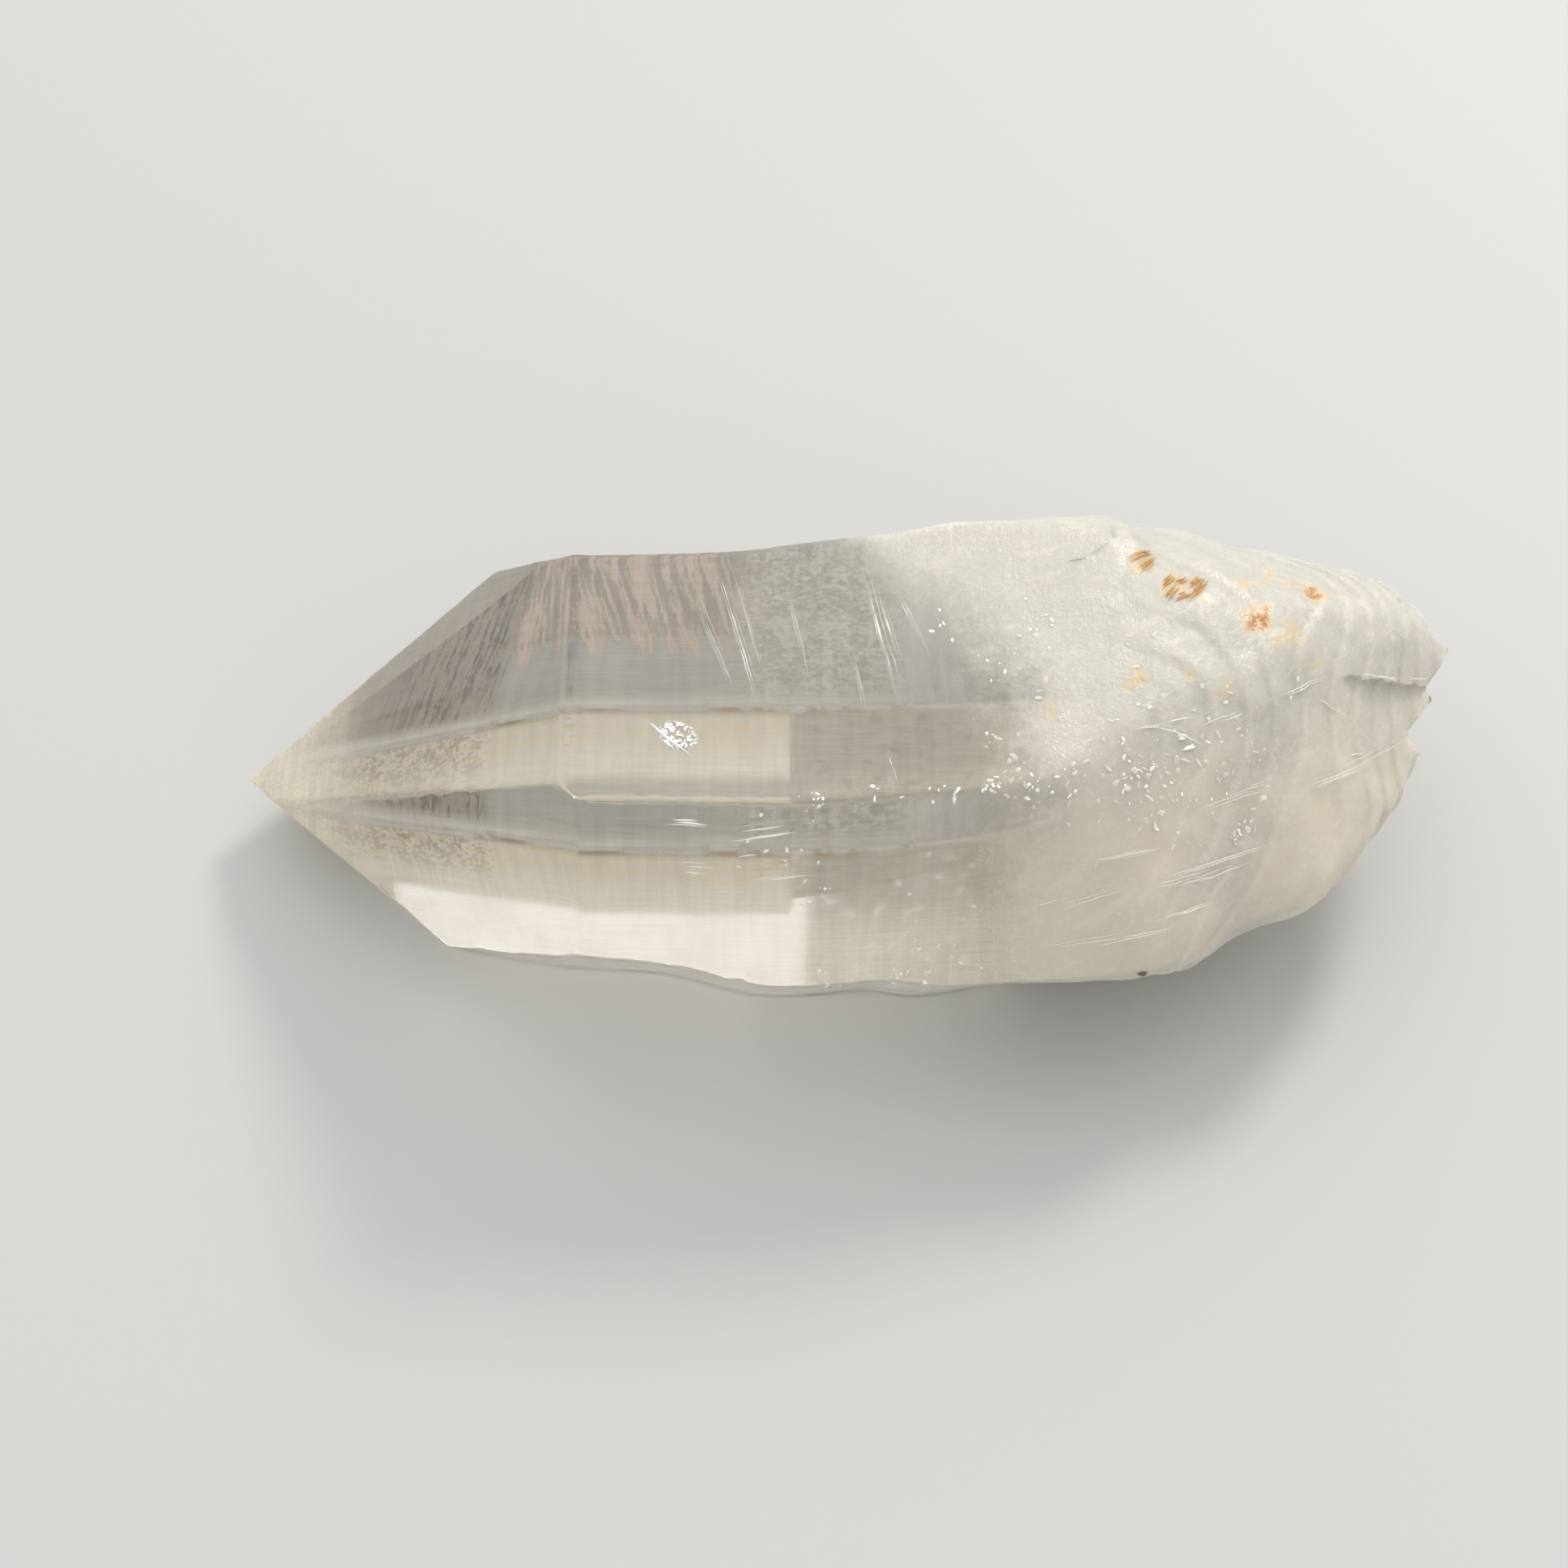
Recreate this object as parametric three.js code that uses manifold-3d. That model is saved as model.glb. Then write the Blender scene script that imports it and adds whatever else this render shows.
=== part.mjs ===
// A single quartz crystal lying on one of its prism faces: a clear six-sided prism that ends in a
// slanting six-faced point at -X, and a swollen base at +X that was broken off its matrix.
// Millimetres, +Z up. The growth axis runs along X, and Y runs across the crystal. The finished part
// is moved so that the origin is under the middle of its box, on the surface that it lies on.

import * as THREE from "three";
import { mergeVertices } from "three/addons/utils/BufferGeometryUtils.js";
import Module from "manifold-3d";

const wasm = await Module();
wasm.setup();

// ---- Driving dimensions ----

// The prism is drawn from startX, longer than the point that is then cut from it, to the tip of the
// broken base at endX. Its cross-sections are clearStep apart, and baseStep apart from baseX on.
const startX = -78;
const baseX = -8;
const endX = 66.8;
const clearStep = 3;
const baseStep = 1.9;
const facePoints = 8; // grid points across each prism face

// The six edges between the prism faces, each as [x, y, z] along the crystal. They run straight in
// the clear half, 36 above the face that it lies on at the top, and swell, sag and draw together in
// the base. The upper back edge drops at x = 30, where a ledge crosses the base.
const prismEdges = {
  upperBack: [
    [-78, 12.3, 36], [-38, 12.3, 36], [-29, 13.1, 36], [-14.6, 13.5, 36], [1.7, 15.7, 36],
    [14, 17.8, 36], [28, 18.5, 36], [30, 17.6, 36], [32.2, 12.6, 36], [36, 11.2, 36],
    [44, 9.6, 34.6], [52, 9.8, 31.6], [60, 12, 27.5], [66.8, 12.4, 20.5],
  ],
  upperFront: [
    [-78, -18, 36], [-27, -18, 36], [-5, -18.3, 36], [6, -17.5, 36], [17, -16.2, 36],
    [24, -12.8, 35.7], [32, -8.9, 35.1], [43.5, -2.6, 33.4], [51, 2, 31.2], [60, 7.5, 26.8],
    [66.8, 10.4, 20],
  ],
  front: [
    [-78, -20.6, 20.3], [-28, -26.9, 20.3], [-18.5, -27.5, 19.4], [-13, -28.2, 18.1],
    [-7, -28.8, 17.3], [-2, -28.7, 17.4], [4.5, -28.4, 17.9], [9, -28.8, 17.5],
    [18, -28.9, 18.2], [30.5, -28.8, 18.5], [35.8, -27.1, 18], [38.6, -24.7, 18],
    [41.8, -22.3, 18], [48, -21.4, 18], [51, -19.1, 18], [55.8, -12.6, 17.5],
    [59.7, -7.2, 17.5], [62.6, -0.3, 17.5], [64.8, 6.4, 17.5], [66.8, 9.2, 17.5],
  ],
  lowerFront: [
    [-78, -7.6, 0], [-43, -13.6, 0], [-36, -15.2, 0], [-28, -16.4, 0], [-21, -16.8, 0],
    [-13, -18.8, 0], [-9.5, -19.9, 0], [-2, -19.6, 0], [2.5, -19, 0], [7, -19.9, 0],
    [12, -19.3, 0], [18, -17.5, 0], [30, -14.5, 0], [41, -10.5, 0], [50, -6.5, 5.5],
    [56, -3, 10], [62, 3.6, 13.2], [66.8, 9.4, 15.4],
  ],
  lowerBack: [
    [-78, 7, 0], [10, 8, 0], [30, 9, 0], [41, 9, 0], [50, 10, 5.5], [56, 11, 9.6],
    [62, 12.4, 13], [66.8, 12.2, 15.4],
  ],
  back: [
    [-78, 19.7, 23.1], [-38, 19.7, 23.1], [-29, 20.5, 23.1], [-14, 20.9, 23.1], [2, 23.1, 23.1],
    [14, 25.3, 23.1], [28, 26.8, 22.8], [33, 28, 23], [36.9, 28, 23], [40.4, 26.2, 23],
    [45.6, 25.3, 23], [52.9, 23.2, 23], [56.6, 22.2, 22.6], [60.6, 21.6, 21], [62.8, 19.4, 20.8],
    [65.2, 15.6, 20], [66.8, 13.4, 18.4],
  ],
};

// The point's six faces. Each leans faceSlope from the growth axis, as on every quartz crystal, and
// is given by the way it turns round the axis, in degrees from +Y, and by one place that it cuts.
const faceSlope = 51.8;
const pointFaces = [
  { turn: 90, through: [-29.2, 0, 36] },
  { turn: 150, through: [-27.1, -18, 36] },
  { turn: 210, through: [-40.7, -21, 10] },
  { turn: 270, through: [-58.5, 0, 0] },
  { turn: 330, through: [-59.5, 10, 5.1] },
  { turn: 34.9, through: [-66.4, 4.3, 6.7] },
];

// The base's edges are worn round between x = start and x = full. Wear draws the outline in, so the
// base is drawn larger by swell to start with.
const wornEdges = { start: 12, full: 46, passes: 5, blend: 0.6, swell: 0.055 };

// Low lumps rise over the base between x = start and x = full. They are higher on the broken
// underside, below brokenBelow, and fade out below flatBelow, where the crystal lies flat.
const lumps = {
  start: 14,
  full: 40,
  height: 0.3,
  brokenHeight: 0.7,
  brokenBelow: 17,
  cleanAbove: 11,
  flatBelow: 4,
};

// The break. Two open grooves run down the end and leave two lobes with a tooth between them: each has
// an inner corner, and walls that open from it at these angles. The shelf is a low step beside the
// upper lobe. The hollows are shell-shaped scars where chips came off the underside and the sides.
const grooves = {
  along: [-0.2, -0.57, 0.8],
  list: [
    { corner: [64, 8.3, 18.5], walls: [53, -56] },
    { corner: [61.7, 3.5, 17], walls: [46, -62] },
  ],
};
const shelf = { at: [60, 4.8, 23.8], up: [0.68, -0.36, 0.64], wallFaces: [0.4, -0.916, 0] };
const hollows = [
  { at: [76.5, 2, -22], radius: 40 },
  { at: [60.7, -26, -8.7], radius: 26 },
  { at: [65, 35, -5.8], radius: 30 },
  { at: [74, 9.7, 3.8], radius: 18 },
  { at: [43.8, -33, -6.5], radius: 20 },
  { at: [42, 37.2, -4.4], radius: 22 },
];

const hollowDetail = 12; // how finely the hollows' spheres are divided
const cutterSize = 200; // larger than the crystal, so every block cuts right through
const mergeDistance = 1e-4;
const degrees = Math.PI / 180;
const up = new THREE.Vector3(0, 0, 1);

// ---- Small helpers ----

// The value in one column of a track at x, on a smooth curve that never overshoots its points.
function trackValue(track, column, x) {
  const last = track.length - 1;
  if (x <= track[0][0]) return track[0][column];
  if (x >= track[last][0]) return track[last][column];
  const slope = (k) => (track[k + 1][column] - track[k][column]) / (track[k + 1][0] - track[k][0]);
  const tangent = (k) => {
    if (k === 0 || k === last) return slope(Math.min(k, last - 1));
    const before = slope(k - 1);
    const after = slope(k);
    return before * after <= 0 ? 0 : (2 * before * after) / (before + after);
  };
  const k = track.findIndex((point) => point[0] > x) - 1;
  const width = track[k + 1][0] - track[k][0];
  const t = (x - track[k][0]) / width;
  const bend = (1 - t) * tangent(k) - t * tangent(k + 1) - (1 - 2 * t) * slope(k);
  return track[k][column] + t * width * slope(k) + t * (1 - t) * width * bend;
}

// 0 up to start, 1 from full on, and eased between.
function ramp(value, start, full) {
  return THREE.MathUtils.smoothstep(value, start, full);
}

function toSolid(geometry) {
  const bare = geometry.clone();
  bare.deleteAttribute("normal");
  bare.deleteAttribute("uv");
  const merged = mergeVertices(bare, mergeDistance);
  return new wasm.Manifold(
    new wasm.Mesh({
      numProp: 3,
      vertProperties: merged.attributes.position.array,
      triVerts: new Uint32Array(merged.index.array),
    }),
  );
}

function toGeometry(solid) {
  const mesh = solid.getMesh();
  const geometry = new THREE.BufferGeometry();
  geometry.setAttribute("position", new THREE.BufferAttribute(mesh.vertProperties, 3));
  geometry.setIndex(new THREE.BufferAttribute(mesh.triVerts, 1));
  return geometry;
}

// ---- The prism and the base ----

function middleOf(points) {
  return points.reduce((sum, p) => sum.add(p), new THREE.Vector3()).divideScalar(points.length);
}

// One pass of wear: each point goes part of the way to the middle of its two neighbours.
function worn(ring, amount) {
  return ring.map((point, i) => {
    const before = ring[(i + ring.length - 1) % ring.length];
    const after = ring[(i + 1) % ring.length];
    return point.clone().lerp(middleOf([before, after]), amount);
  });
}

// Low rolling lumps, from -1 to 1.
function lumpAt({ x, y, z }) {
  const broad = Math.sin(0.42 * x + 1.7 * Math.sin(0.19 * y)) * Math.cos(0.36 * y + 0.31 * z + 0.8);
  const fine = Math.sin(1.07 * x - 0.6 * y + 2.1) * Math.sin(0.83 * z + 0.5 * y);
  return 0.7 * broad + 0.3 * fine;
}

function lumpHeight(point) {
  const broken = 1 - ramp(point.z, lumps.cleanAbove, lumps.brokenBelow);
  const height = THREE.MathUtils.lerp(lumps.height, lumps.brokenHeight, broken);
  const fade = ramp(point.x, lumps.start, lumps.full) * ramp(point.z, 0, lumps.flatBelow);
  return fade * height * lumpAt(point);
}

function crossSection(x) {
  const corners = Object.values(prismEdges).map(
    (edge) => new THREE.Vector3(x, trackValue(edge, 1, x), trackValue(edge, 2, x)),
  );
  const middle = middleOf(corners);
  const wear = ramp(x, wornEdges.start, wornEdges.full);
  const swell = 1 + wornEdges.swell * wear;
  let ring = corners.flatMap((from, i) => {
    const to = corners[(i + 1) % corners.length];
    return Array.from({ length: facePoints }, (_, c) => from.clone().lerp(to, c / facePoints));
  });
  ring = ring.map((point) => point.sub(middle).multiplyScalar(swell).add(middle));
  for (let pass = 0; pass < wornEdges.passes; pass++) ring = worn(ring, wornEdges.blend * wear);
  return ring.map((point) => {
    const outward = point.clone().sub(middle).normalize();
    point.addScaledVector(outward, lumpHeight(point));
    return point.setZ(Math.max(0, point.z));
  });
}

function evenSteps(from, to, step) {
  const count = Math.round((to - from) / step);
  return Array.from({ length: count }, (_, i) => from + ((to - from) * i) / count);
}

function prismAndBase() {
  const stations = [
    ...evenSteps(startX, baseX, clearStep),
    ...evenSteps(baseX, endX, baseStep),
    endX,
  ];
  const rings = stations.map(crossSection);
  const around = rings[0].length;
  const points = rings.flat();
  const index = [];
  for (let s = 0; s < rings.length - 1; s++)
    for (let c = 0; c < around; c++) {
      const a = s * around + c;
      const b = s * around + ((c + 1) % around);
      index.push(a, b, a + around, b, b + around, a + around);
    }
  const startHub = points.push(middleOf(rings[0])) - 1;
  const endHub = points.push(middleOf(rings[rings.length - 1])) - 1;
  const lastRing = (rings.length - 1) * around;
  for (let c = 0; c < around; c++) {
    const next = (c + 1) % around;
    index.push(startHub, next, c);
    index.push(endHub, lastRing + c, lastRing + next);
  }
  const geometry = new THREE.BufferGeometry().setFromPoints(points);
  geometry.setIndex(index);
  return toSolid(geometry);
}

// ---- The point ----

// A large block whose underside is one face of the point.
function pointCutter({ turn, through }) {
  const lean = faceSlope * degrees;
  const normal = new THREE.Vector3(
    -Math.cos(lean),
    Math.sin(lean) * Math.cos(turn * degrees),
    Math.sin(lean) * Math.sin(turn * degrees),
  );
  const block = new THREE.BoxGeometry(cutterSize, cutterSize, cutterSize);
  block.translate(0, 0, cutterSize / 2);
  block.applyQuaternion(new THREE.Quaternion().setFromUnitVectors(up, normal));
  block.translate(...through);
  return toSolid(block);
}

// ---- The break ----

// An open wedge with its inner corner where it is told to be.
function grooveCutter({ corner, walls }) {
  const [wallA, wallB] = walls.map((way) => [
    cutterSize * Math.cos(way * degrees),
    cutterSize * Math.sin(way * degrees),
  ]);
  const wedge = new THREE.Shape().moveTo(0, 0).lineTo(...wallB).lineTo(...wallA);
  const cutter = new THREE.ExtrudeGeometry(wedge, { depth: cutterSize, bevelEnabled: false });
  const along = new THREE.Vector3(...grooves.along).normalize();
  cutter.translate(0, 0, -cutterSize / 2);
  cutter.applyQuaternion(new THREE.Quaternion().setFromUnitVectors(up, along));
  cutter.translate(...corner);
  return toSolid(cutter);
}

// A block whose underside is the step's floor and whose far side is its wall.
function shelfCutter({ at, up: floorUp, wallFaces }) {
  const zAxis = new THREE.Vector3(...floorUp).normalize();
  const xAxis = zAxis.clone().cross(new THREE.Vector3(...wallFaces)).normalize();
  const yAxis = zAxis.clone().cross(xAxis);
  const block = new THREE.BoxGeometry(cutterSize, cutterSize, cutterSize);
  block.translate(0, -cutterSize / 2, cutterSize / 2);
  block.applyMatrix4(new THREE.Matrix4().makeBasis(xAxis, yAxis, zAxis));
  block.translate(...at);
  return toSolid(block);
}

function hollowCutter({ at, radius }) {
  const hollow = new THREE.IcosahedronGeometry(radius, hollowDetail);
  hollow.translate(...at);
  return toSolid(hollow);
}

// ---- Assembly ----

const cutters = [
  ...pointFaces.map(pointCutter),
  ...grooves.list.map(grooveCutter),
  shelfCutter(shelf),
  ...hollows.map(hollowCutter),
];
let crystal = prismAndBase();
for (const cutter of cutters) crystal = crystal.subtract(cutter);

const geometry = toGeometry(crystal);
geometry.computeBoundingBox();
const box = geometry.boundingBox;
const middle = box.getCenter(new THREE.Vector3());
geometry.translate(-middle.x, -middle.y, -box.min.z);

const quartz = new THREE.Mesh(
  geometry,
  new THREE.MeshStandardMaterial({ color: 0xd9d3c8, roughness: 0.12, metalness: 0 }),
);
quartz.name = "quartz_crystal";

const part = new THREE.Group();
part.add(quartz);
export default part;
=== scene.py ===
import math
import time

import bmesh
import bpy
import numpy as np
from mathutils import Matrix, Vector, bvhtree, noise


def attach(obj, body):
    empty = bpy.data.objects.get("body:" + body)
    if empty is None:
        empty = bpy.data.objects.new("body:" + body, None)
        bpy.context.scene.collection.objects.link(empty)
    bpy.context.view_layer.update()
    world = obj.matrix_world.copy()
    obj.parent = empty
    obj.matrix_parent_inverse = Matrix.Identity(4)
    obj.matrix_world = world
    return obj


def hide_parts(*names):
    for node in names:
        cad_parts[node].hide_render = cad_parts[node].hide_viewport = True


startTime = time.time()
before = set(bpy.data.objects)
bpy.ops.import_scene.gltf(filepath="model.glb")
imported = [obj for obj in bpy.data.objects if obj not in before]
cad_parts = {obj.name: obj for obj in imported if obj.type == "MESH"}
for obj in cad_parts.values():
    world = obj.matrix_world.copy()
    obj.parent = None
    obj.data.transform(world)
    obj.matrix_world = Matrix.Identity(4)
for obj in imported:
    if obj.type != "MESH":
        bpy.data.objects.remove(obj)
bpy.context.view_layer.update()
mm = 0.001
scene = bpy.context.scene
noise.seed_set(3)  # noise vectors follow the clock without a seed


def report(words):
    print(f"{time.time() - startTime:6.1f} s  {words}")


def addNode(tree, kind, inputs, **settings):
    node = tree.nodes.new(kind)
    for key, value in settings.items():
        setattr(node, key, value)
    for key, value in inputs.items():
        if isinstance(value, bpy.types.NodeSocket):
            tree.links.new(value, node.inputs[key])
        else:
            node.inputs[key].default_value = value
    return node.outputs


def rampNode(tree, value, low, high, outLow=0.0, outHigh=1.0):
    inputs = {"Value": value, "From Min": low, "From Max": high, "To Min": outLow, "To Max": outHigh}
    return addNode(tree, "ShaderNodeMapRange", inputs, interpolation_type="SMOOTHSTEP")["Result"]


# the camera, in metres and degrees
camera = {
    "target": (-6.57 * mm, -15.01 * mm, 36.0 * mm),
    "distance": 0.3,
    "elevation": 56.0,
    "fieldOfView": 29.37,
}

# where the lamp and the sky's bright part stand: the way round from +Y towards +X, and the height over the
# floor, in degrees
lamp = {"way": 30, "height": 41, "distance": 1.2, "size": 0.28, "power": 6.0, "colour": (1.0, 0.96, 0.90)}
studio = {
    "way": -8,
    "height": 56,
    "bright": 1.5,
    "plain": 0.82,
    "spread": (0.55, 0.95),
    "viewTransform": "Standard",
}
floor = {"size": 4.0, "gap": 0.2 * mm, "colour": (0.52, 0.52, 0.51), "roughness": 0.6}


def makeCamera():
    data = bpy.data.cameras.new("camera")
    data.sensor_width = 36.0
    data.angle = math.radians(camera["fieldOfView"])
    data.clip_start = 0.01
    eye = bpy.data.objects.new("camera", data)
    scene.collection.objects.link(eye)
    lift = math.radians(camera["elevation"])
    away = Vector((0.0, -math.cos(lift), math.sin(lift)))
    eye.location = Vector(camera["target"]) + away * camera["distance"]
    eye.rotation_euler = (math.pi / 2 - lift, 0.0, 0.0)
    scene.camera = eye


def directionOf(way, height):
    way, height = math.radians(way), math.radians(height)
    return Vector((math.sin(way) * math.cos(height), math.cos(way) * math.cos(height), math.sin(height)))


def makeLamp():
    data = bpy.data.lights.new("lamp", "AREA")
    data.shape = "DISK"
    data.size = lamp["size"]
    data.energy = lamp["power"]
    data.color = lamp["colour"]
    holder = bpy.data.objects.new("lamp", data)
    scene.collection.objects.link(holder)
    towards = directionOf(lamp["way"], lamp["height"])
    holder.location = towards * lamp["distance"]
    holder.rotation_euler = towards.to_track_quat("Z", "Y").to_euler()


def makeStudio():
    world = bpy.data.worlds.new("studio")
    world.use_nodes = True
    tree = world.node_tree
    light = tree.nodes["Background"]
    light.inputs["Color"].default_value = (1.0, 1.0, 1.0, 1.0)
    place = addNode(tree, "ShaderNodeTexCoord", {})["Generated"]
    towards = {0: place, 1: directionOf(studio["way"], studio["height"])}
    towards = addNode(tree, "ShaderNodeVectorMath", towards, operation="DOT_PRODUCT")["Value"]
    strength = rampNode(tree, towards, *studio["spread"], studio["plain"], studio["bright"])
    tree.links.new(strength, light.inputs["Strength"])
    scene.world = world
    scene.view_settings.view_transform = studio["viewTransform"]


def makeFloor():
    half = floor["size"] / 2
    corners = [(x * half, y * half, -floor["gap"]) for x, y in ((-1, -1), (1, -1), (1, 1), (-1, 1))]
    mesh = bpy.data.meshes.new("floor")
    mesh.from_pydata(corners, [], [(0, 1, 2, 3)])
    plane = bpy.data.objects.new("floor", mesh)
    scene.collection.objects.link(plane)
    paint = bpy.data.materials.new("floor_paint")
    paint.use_nodes = True
    shader = paint.node_tree.nodes["Principled BSDF"]
    shader.inputs["Base Color"].default_value = (*floor["colour"], 1.0)
    shader.inputs["Roughness"].default_value = floor["roughness"]
    mesh.materials.append(paint)


makeCamera()
makeLamp()
makeStudio()
makeFloor()
report("camera, lights and floor are set")


# the quartz body: lengths in metres, angles in degrees
body = {
    "mergeDistance": 0.02 * mm,
    "flatAngle": 0.3,  # faces that fold less than this are one flat face
    "gridArea": 25 * mm * mm,  # flat faces larger than this are cut into a grid
    "gridStep": 3.0 * mm,
    "gridSnap": 0.5 * mm,
    "gridTilt": 0.75,  # a face that looks more along an axis than this isn't cut across that axis
    "pairAngle": 25.0,  # triangles that fold less than this are paired into four-sided faces
    "pairShape": 60.0,  # as long as the corners are this near to square
    "edgeAngle": 24.0,  # an edge that folds more than this stays crisp
    "edgeCrease": 0.42,  # how crisp: 1 is a knife edge
    "levels": 2,
    "smoothAngle": 32.0,
}


def cutIntoGrid(bm, face):
    tag = bm.faces.layers.int["grid"]
    face[tag] = 1
    for axis in range(3):
        across = Vector([float(axis == i) for i in range(3)])
        if abs(face.normal.dot(across)) > body["gridTilt"]:
            continue
        members = [f for f in bm.faces if f[tag] == 1]
        places = [v.co[axis] for f in members for v in f.verts]
        low, high = min(places), max(places)
        step = body["gridStep"]
        for k in range(math.ceil(low / step), math.floor(high / step) + 1):
            members = [f for f in bm.faces if f[tag] == 1]
            edges = (e for f in members for e in f.edges)
            geom = list({*members, *edges, *(v for f in members for v in f.verts)})
            plane = {"plane_co": across * (k * step), "plane_no": across}
            bmesh.ops.bisect_plane(bm, geom=geom, dist=body["gridSnap"], **plane)
    for f in bm.faces:
        if f[tag] == 1:
            f[tag] = 2


def quartzMesh():
    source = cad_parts["quartz_crystal"]
    bm = bmesh.new()
    bm.from_mesh(source.data)
    bmesh.ops.remove_doubles(bm, verts=bm.verts, dist=body["mergeDistance"])
    bmesh.ops.dissolve_degenerate(bm, dist=body["mergeDistance"], edges=bm.edges)
    flat = math.radians(body["flatAngle"])
    bmesh.ops.dissolve_limit(bm, angle_limit=flat, verts=bm.verts, edges=bm.edges)
    bm.faces.layers.int.new("grid")
    large = [f.calc_center_median() for f in bm.faces if f.calc_area() > body["gridArea"]]
    for centre in large:
        faces = [f for f in bm.faces if f.calc_area() > body["gridArea"]]
        face = min(faces, key=lambda f: (f.calc_center_median() - centre).length)
        cutIntoGrid(bm, face)
    bmesh.ops.triangulate(bm, faces=[f for f in bm.faces if len(f.verts) > 4])
    bmesh.ops.join_triangles(
        bm,
        faces=bm.faces,
        angle_face_threshold=math.radians(body["pairAngle"]),
        angle_shape_threshold=math.radians(body["pairShape"]),
    )
    crease = bm.edges.layers.float.new("crease_edge")
    for edge in bm.edges:
        if edge.calc_face_angle(0.0) > math.radians(body["edgeAngle"]):
            edge[crease] = body["edgeCrease"]
    mesh = bpy.data.meshes.new("quartz_body")
    bm.to_mesh(mesh)
    bm.free()
    return mesh


def applied(piece):
    tree = bpy.context.evaluated_depsgraph_get()
    bpy.context.view_layer.update()
    mesh = bpy.data.meshes.new_from_object(piece.evaluated_get(tree))
    piece.modifiers.clear()
    piece.data = mesh


quartz = bpy.data.objects.new("quartz_body", quartzMesh())
scene.collection.objects.link(quartz)
rounding = quartz.modifiers.new("rounding", "SUBSURF")
rounding.levels = rounding.render_levels = body["levels"]
applied(quartz)
report("body built")


def smoothstep(value, low, high):
    t = np.clip((value - low) / (high - low), 0.0, 1.0)
    return t * t * (3.0 - 2.0 * t)


def valuesOf(items, name, width):
    flat = np.empty(len(items) * width, np.float32)
    items.foreach_get(name, flat)
    return flat.reshape(-1, width).astype(float)


# where the clear half turns milky, in metres: the middle of the change, how it draws back across the top
# face behind the ridge and in front of it, and how far before and after the middle it starts and ends
milkLine = {
    "middle": 15.0 * mm,
    "ridge": -6.0 * mm,
    "backBend": 34.0,
    "frontBend": 4.0,
    "mostBend": 17.0 * mm,
    "before": 7.0 * mm,
    "after": 11.0 * mm,
}


def milkMask(spots):
    fromRidge = spots[:, 1] - milkLine["ridge"]
    bend = np.where(fromRidge > 0, milkLine["backBend"], milkLine["frontBend"]) * fromRidge**2
    bend = np.minimum(bend, milkLine["mostBend"]) * smoothstep(spots[:, 2], 30 * mm, 35 * mm)
    line = milkLine["middle"] - bend
    return smoothstep(spots[:, 0], line - milkLine["before"], line + milkLine["after"])


# how rough the milky base is: depths in metres, sizes as waves a metre, and the steps of its broken end
rough = {
    "swell": (0.22 * mm, 130.0),
    "ridge": (0.22 * mm, 260.0),
    "pit": (0.12 * mm, 700.0),
    "step": 0.32 * mm,
    "stepWidth": 3.6 * mm,
    "stepWay": (0.55, 0.30, -0.78),
    "stepBend": (1.6, 70.0),  # how many steps a step wanders, and how often
    "stepCrest": 0.85,  # how much of a step's width is its slow rise
    "broken": (24 * mm, 36 * mm),
    "unbroken": 0.35,  # how rough the rest of the base is
}


def roughen(mesh):
    spots = valuesOf(mesh.vertices, "co", 3)
    normals = valuesOf(mesh.vertices, "normal", 3)
    amount = smoothstep(milkMask(spots), 0.45, 1.0)
    broken = smoothstep(spots[:, 0], *rough["broken"])
    amount *= rough["unbroken"] + (1 - rough["unbroken"]) * broken
    crest = rough["stepCrest"]
    depth = np.zeros(len(spots))
    for i in np.nonzero(amount > 0.01)[0]:
        p = Vector(spots[i])
        swell = noise.noise(p * rough["swell"][1]) * rough["swell"][0]
        ridge = abs(noise.noise(p * rough["ridge"][1])) * rough["ridge"][0]
        pit = max(0.0, noise.noise(p * rough["pit"][1])) * rough["pit"][0]
        bend, often = rough["stepBend"]
        along = p.dot(Vector(rough["stepWay"])) / rough["stepWidth"] + bend * noise.noise(p * often)
        rise = along - math.floor(along)
        rise = rise if rise < crest else (1.0 - rise) * crest / (1.0 - crest)
        depth[i] = swell + ridge + pit + rise * rough["step"] * broken[i]
    spots -= normals * (depth * amount)[:, None]
    spots[:, 2] = np.maximum(spots[:, 2], 0.0)
    mesh.vertices.foreach_set("co", spots.astype(np.float32).ravel())
    mesh.update()


roughen(quartz.data)
quartz.data.polygons.foreach_set("use_smooth", [True] * len(quartz.data.polygons))
quartz.data.set_sharp_from_angle(angle=math.radians(body["smoothAngle"]))
report("base roughened")


# the masks that the finish of the quartz reads
finishMasks = ("milk", "under", "cream", "dull", "floorShade", "back", "rust", "veiled", "cloud", "tip")
finishMasks += ("ridged", "hatched", "blotched")


def paintMask(mesh, name, values):
    layer = mesh.attributes.new(name, "FLOAT", "POINT")
    layer.data.foreach_set("value", values.astype(np.float32))
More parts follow.
